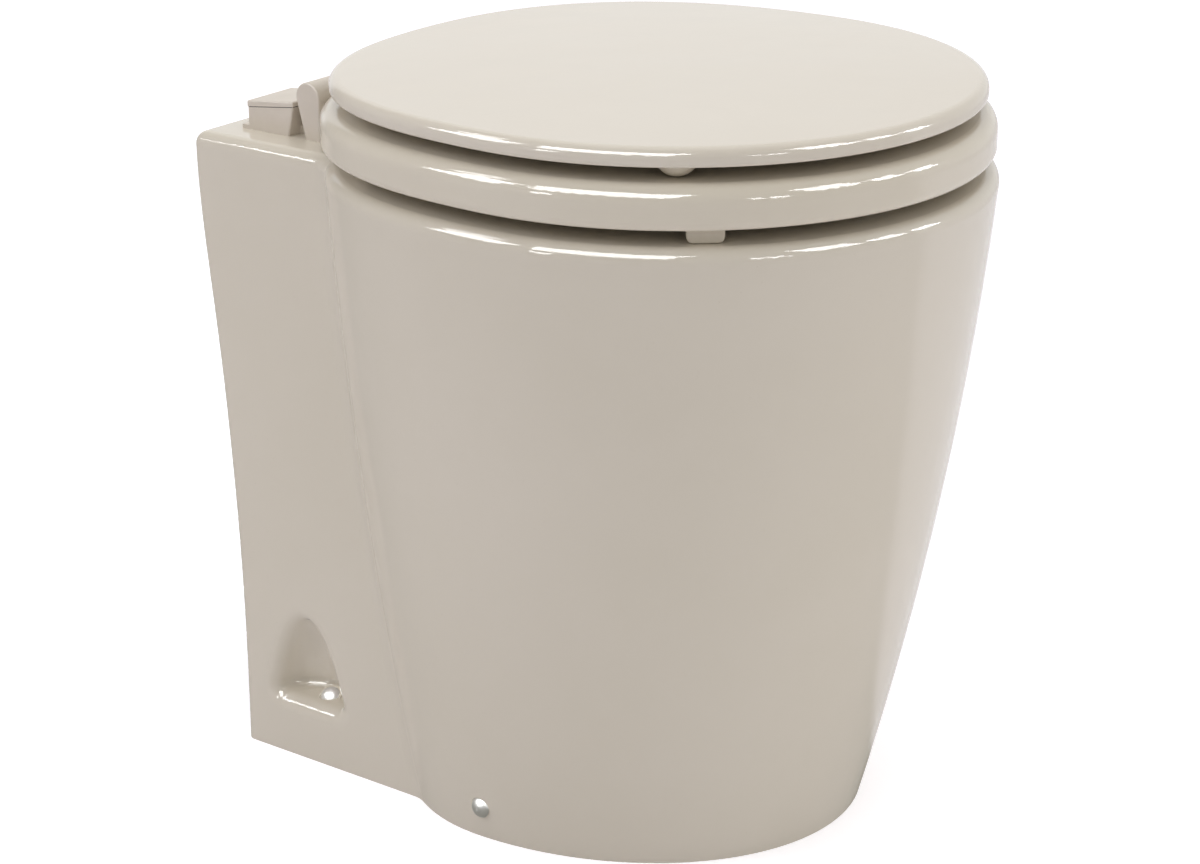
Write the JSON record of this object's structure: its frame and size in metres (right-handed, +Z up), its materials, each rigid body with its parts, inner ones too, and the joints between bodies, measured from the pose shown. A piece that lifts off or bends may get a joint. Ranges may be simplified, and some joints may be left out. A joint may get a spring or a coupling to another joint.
{
  "type": "electric marine toilet",
  "caption": "Compact electric marine toilet: china pedestal bowl with rear box, hinged seat and lid, and a macerator pump and flush valve inside the pedestal.",
  "frame": {"origin": "on the floor, at the middle of the whole outline", "axes": "+Z up, -Y towards the front of the bowl, X across"},
  "size_m": [0.3769, 0.4713, 0.4602],
  "materials": {
    "china": "gloss",
    "lid_plastic": "gloss",
    "seat_plastic": "gloss",
    "bumper_plastic": "satin",
    "hinge_plastic": "satin",
    "leaf_plastic": "satin",
    "stainless": "polished",
    "pump_plastic": "satin",
    "rubber": "matte",
    "motor_paint": "satin",
    "motor_alloy": "cast",
    "lamination": "matte",
    "brass": "satin",
    "carbon": "matte"
  },
  "bodies": {
    "root": {"bowl_pedestal": "china", "bowl_basin": "china", "hinge_base_left": "hinge_plastic", "hinge_base_right": "hinge_plastic", "hinge_cap_left": "hinge_plastic", "hinge_cap_right": "hinge_plastic", "hinge_rod": "stainless", "front_fixing_screws": "stainless", "rear_fixing_screws": "stainless", "bracket_nuts": "stainless", "hinge_bolts": "stainless", "hinge_nuts": "stainless", "housing_screws": "stainless", "sleeve_clamps": "stainless", "hose_clips": "stainless", "pump_base_plate": "stainless", "valve_bracket": "stainless", "cutter_plate": "stainless", "floor_bracket_left": "stainless", "floor_bracket_right": "stainless", "motor_bearings": "stainless", "chopper_housing": "pump_plastic", "volute_housing": "pump_plastic", "discharge_tail": "pump_plastic", "discharge_collar": "pump_plastic", "flush_valve_body": "pump_plastic", "rim_nozzle": "pump_plastic", "motor_cable_gland": "pump_plastic", "solenoid_coil": "pump_plastic", "solenoid_collar": "pump_plastic", "hinge_washers": "rubber", "pump_feet": "rubber", "outlet_sleeve": "rubber", "joker_valve": "rubber", "flush_hose": "rubber", "nozzle_gasket": "rubber", "shaft_seal": "rubber", "motor_can": "motor_paint", "motor_end_cap": "motor_paint", "motor_flange": "motor_alloy", "motor_magnets": "lamination", "solenoid_core_tube": "brass", "motor_brushes": "carbon"},
    "seat": {"seat_ring": "seat_plastic", "seat_bumpers": "bumper_plastic", "seat_leaf_left": "leaf_plastic", "seat_leaf_right": "leaf_plastic", "seat_leaf_screws": "stainless"},
    "lid": {"lid": "lid_plastic", "lid_bumpers": "bumper_plastic", "lid_leaf_left": "leaf_plastic", "lid_leaf_right": "leaf_plastic", "lid_leaf_screws": "stainless"},
    "rotor": {"motor_shaft": "stainless", "armature": "lamination", "commutator": "brass", "chopper_blade": "stainless", "blade_nut": "stainless", "impeller": "pump_plastic"},
    "plunger": {"solenoid_plunger": "stainless"}
  },
  "joints": [
    {"name": "lid_hinge", "type": "hinge", "parent": "root", "child": "lid", "pos_m": [0, 0.1607, 0.4303], "axis": [-1, 0, 0], "range_deg": [0, 104]},
    {"name": "seat_hinge", "type": "hinge", "parent": "root", "child": "seat", "pos_m": [0, 0.1607, 0.4303], "axis": [-1, 0, 0], "range_deg": [0, 96.2]},
    {"name": "rotor_spin", "type": "hinge", "parent": "root", "child": "rotor", "pos_m": [0, 0.142, 0.18], "axis": [0, 0, 1], "continuous": true},
    {"name": "plunger_slide", "type": "slide", "parent": "root", "child": "plunger", "axis": [1, 0, 0], "range_m": [0, 0.004]}
  ],
  "couplings": [
    {"joint": "seat_hinge", "follows": "lid_hinge", "ratio": 0.925}
  ]
}
